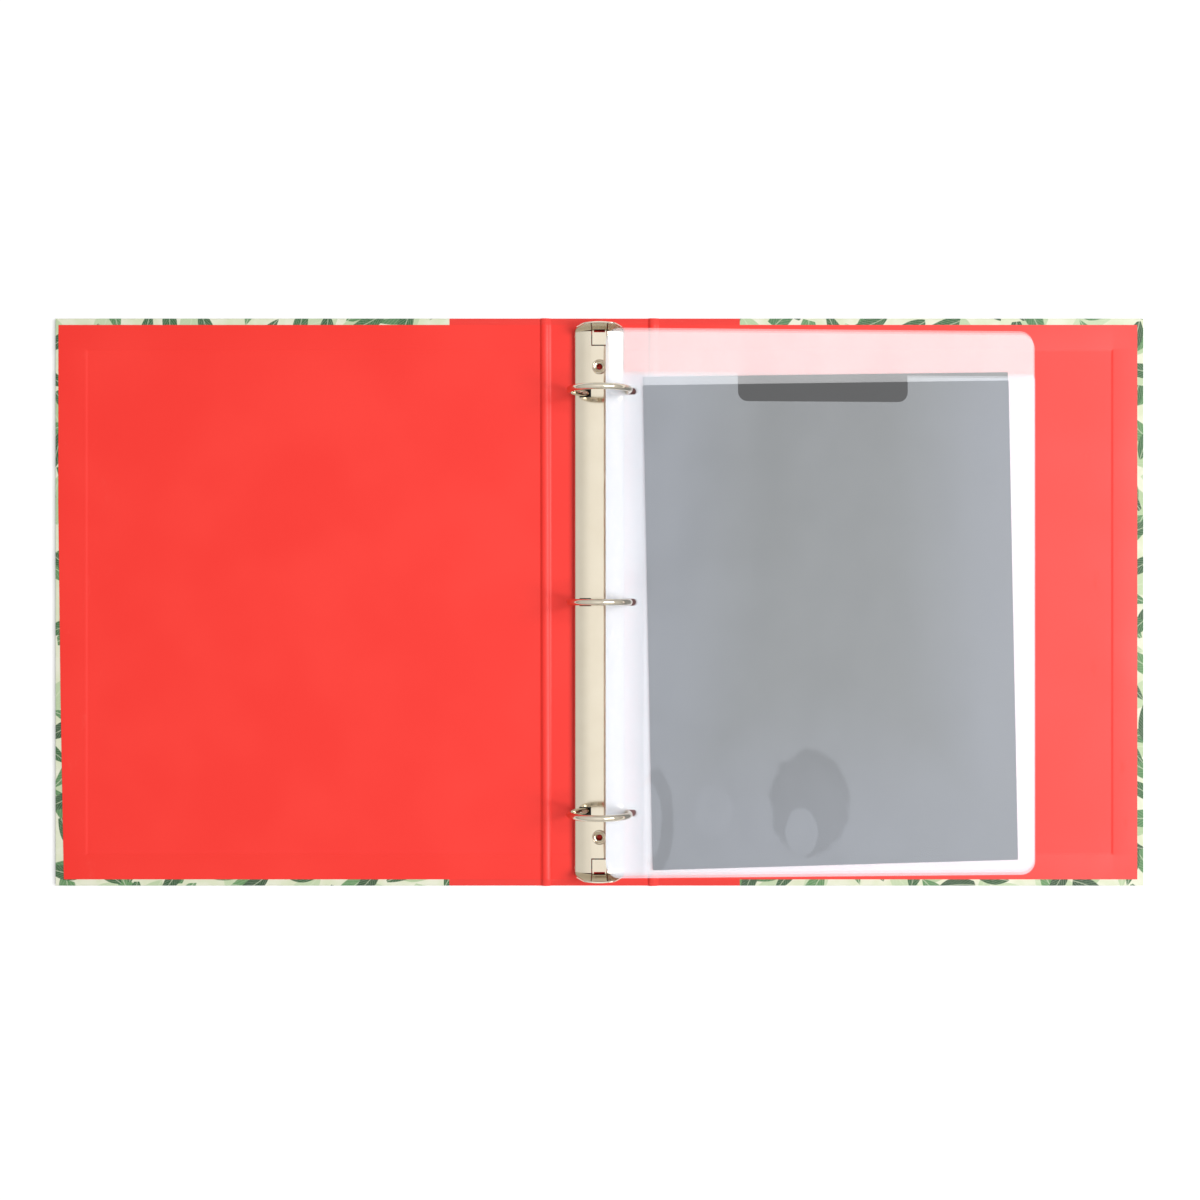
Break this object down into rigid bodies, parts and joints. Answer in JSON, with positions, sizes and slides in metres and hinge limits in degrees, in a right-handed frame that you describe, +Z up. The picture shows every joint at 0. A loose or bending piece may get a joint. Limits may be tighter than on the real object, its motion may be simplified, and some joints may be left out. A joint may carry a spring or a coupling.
{
  "type": "ring binder album",
  "caption": "Quarter-bound ring album lying open, with a nickel ring mechanism that opens, and top-loading frosted pocket pages that turn.",
  "frame": {"origin": "under the middle of the spine, on the surface that the open case lies on", "axes": "+X towards the back cover, which carries the pages; +Y along the spine towards its head; +Z up, out of the open album"},
  "size_m": [0.566, 0.295, 0.0381],
  "materials": {
    "greyboard": "grey millboard",
    "cover_paper": "printed leaf pattern, matt",
    "spine_cloth": "plain red covering, matt",
    "lining_paper": "plain red, smooth matt",
    "nickel": "bright nickel plate",
    "page_film": "frosted clear film",
    "backing_card": "plain grey card"
  },
  "bodies": {
    "spine": {"spine_board": "greyboard", "spine_cloth": "spine_cloth", "spine_lining": "lining_paper", "front_hinge_cloth": "spine_cloth", "front_hinge_lining": "lining_paper", "back_hinge_cloth": "spine_cloth", "back_hinge_lining": "lining_paper", "shield": "nickel", "head_rivet": "nickel", "tail_rivet": "nickel", "head_lever_pin": "nickel", "tail_lever_pin": "nickel"},
    "front_cover": {"front_board": "greyboard", "front_cover_paper": "cover_paper", "front_cloth_flap": "spine_cloth", "front_lining": "lining_paper"},
    "back_cover": {"back_board": "greyboard", "back_cover_paper": "cover_paper", "back_cloth_flap": "spine_cloth", "back_lining": "lining_paper"},
    "left_rings": {"left_blade": "nickel", "head_ring_left_half": "nickel", "middle_ring_left_half": "nickel", "tail_ring_left_half": "nickel"},
    "right_rings": {"right_blade": "nickel", "head_ring_right_half": "nickel", "middle_ring_right_half": "nickel", "tail_ring_right_half": "nickel"},
    "head_lever": {"head_lever": "nickel"},
    "tail_lever": {"tail_lever": "nickel"},
    "page_1": {"page_1_backing_film": "page_film", "page_1_pocket_film": "page_film", "page_1_binding_strip": "page_film", "page_1_tail_seam": "page_film", "page_1_side_seam": "page_film"},
    "card_1": {"card_1": "backing_card"},
    "page_2": {"page_2_backing_film": "page_film", "page_2_pocket_film": "page_film", "page_2_binding_strip": "page_film", "page_2_tail_seam": "page_film", "page_2_side_seam": "page_film"},
    "card_2": {"card_2": "backing_card"},
    "page_3": {"page_3_backing_film": "page_film", "page_3_pocket_film": "page_film", "page_3_binding_strip": "page_film", "page_3_tail_seam": "page_film", "page_3_side_seam": "page_film"},
    "card_3": {"card_3": "backing_card"}
  },
  "joints": [
    {"name": "front_cover_hinge", "type": "hinge", "parent": "spine", "child": "front_cover", "pos_m": [-0.028, 0, 0.0005], "axis": [0, -1, 0], "range_deg": [-90, 0]},
    {"name": "back_cover_hinge", "type": "hinge", "parent": "spine", "child": "back_cover", "pos_m": [0.028, 0, 0.0005], "axis": [0, 1, 0], "range_deg": [-90, 0]},
    {"name": "bottom_page_lift", "type": "hinge", "parent": "spine", "child": "page_3", "pos_m": [0, 0, 0.02115], "axis": [0, 1, 0], "range_deg": [-90, 0]},
    {"name": "middle_page_turn", "type": "hinge", "parent": "page_3", "child": "page_2", "pos_m": [0, 0, 0.02115], "axis": [0, -1, 0], "range_deg": [0, 188]},
    {"name": "top_page_turn", "type": "hinge", "parent": "page_2", "child": "page_1", "pos_m": [0, 0, 0.02115], "axis": [0, -1, 0], "range_deg": [0, 188]},
    {"name": "right_rings_open", "type": "hinge", "parent": "spine", "child": "right_rings", "pos_m": [0.0114, 0, 0.00455], "axis": [0, -1, 0], "range_deg": [-12, 0]},
    {"name": "left_rings_open", "type": "hinge", "parent": "spine", "child": "left_rings", "pos_m": [-0.0114, 0, 0.00455], "axis": [0, 1, 0], "range_deg": [-12, 0]},
    {"name": "head_lever_press", "type": "hinge", "parent": "spine", "child": "head_lever", "pos_m": [0, 0.1376, 0.00495], "axis": [1, 0, 0], "range_deg": [-24, 0]},
    {"name": "tail_lever_press", "type": "hinge", "parent": "spine", "child": "tail_lever", "pos_m": [0, -0.1376, 0.00495], "axis": [-1, 0, 0], "range_deg": [-24, 0]},
    {"name": "card_1_slide", "type": "slide", "parent": "page_1", "child": "card_1", "axis": [0, 1, 0], "range_m": [0, 0.24]},
    {"name": "card_2_slide", "type": "slide", "parent": "page_2", "child": "card_2", "axis": [0, 1, 0], "range_m": [0, 0.24]},
    {"name": "card_3_slide", "type": "slide", "parent": "page_3", "child": "card_3", "axis": [0, 1, 0], "range_m": [0, 0.24]}
  ],
  "couplings": [
    {"joint": "bottom_page_lift", "follows": "back_cover_hinge", "ratio": 1},
    {"joint": "left_rings_open", "follows": "right_rings_open", "ratio": 1},
    {"joint": "head_lever_press", "follows": "right_rings_open", "ratio": 2},
    {"joint": "tail_lever_press", "follows": "right_rings_open", "ratio": 2}
  ]
}
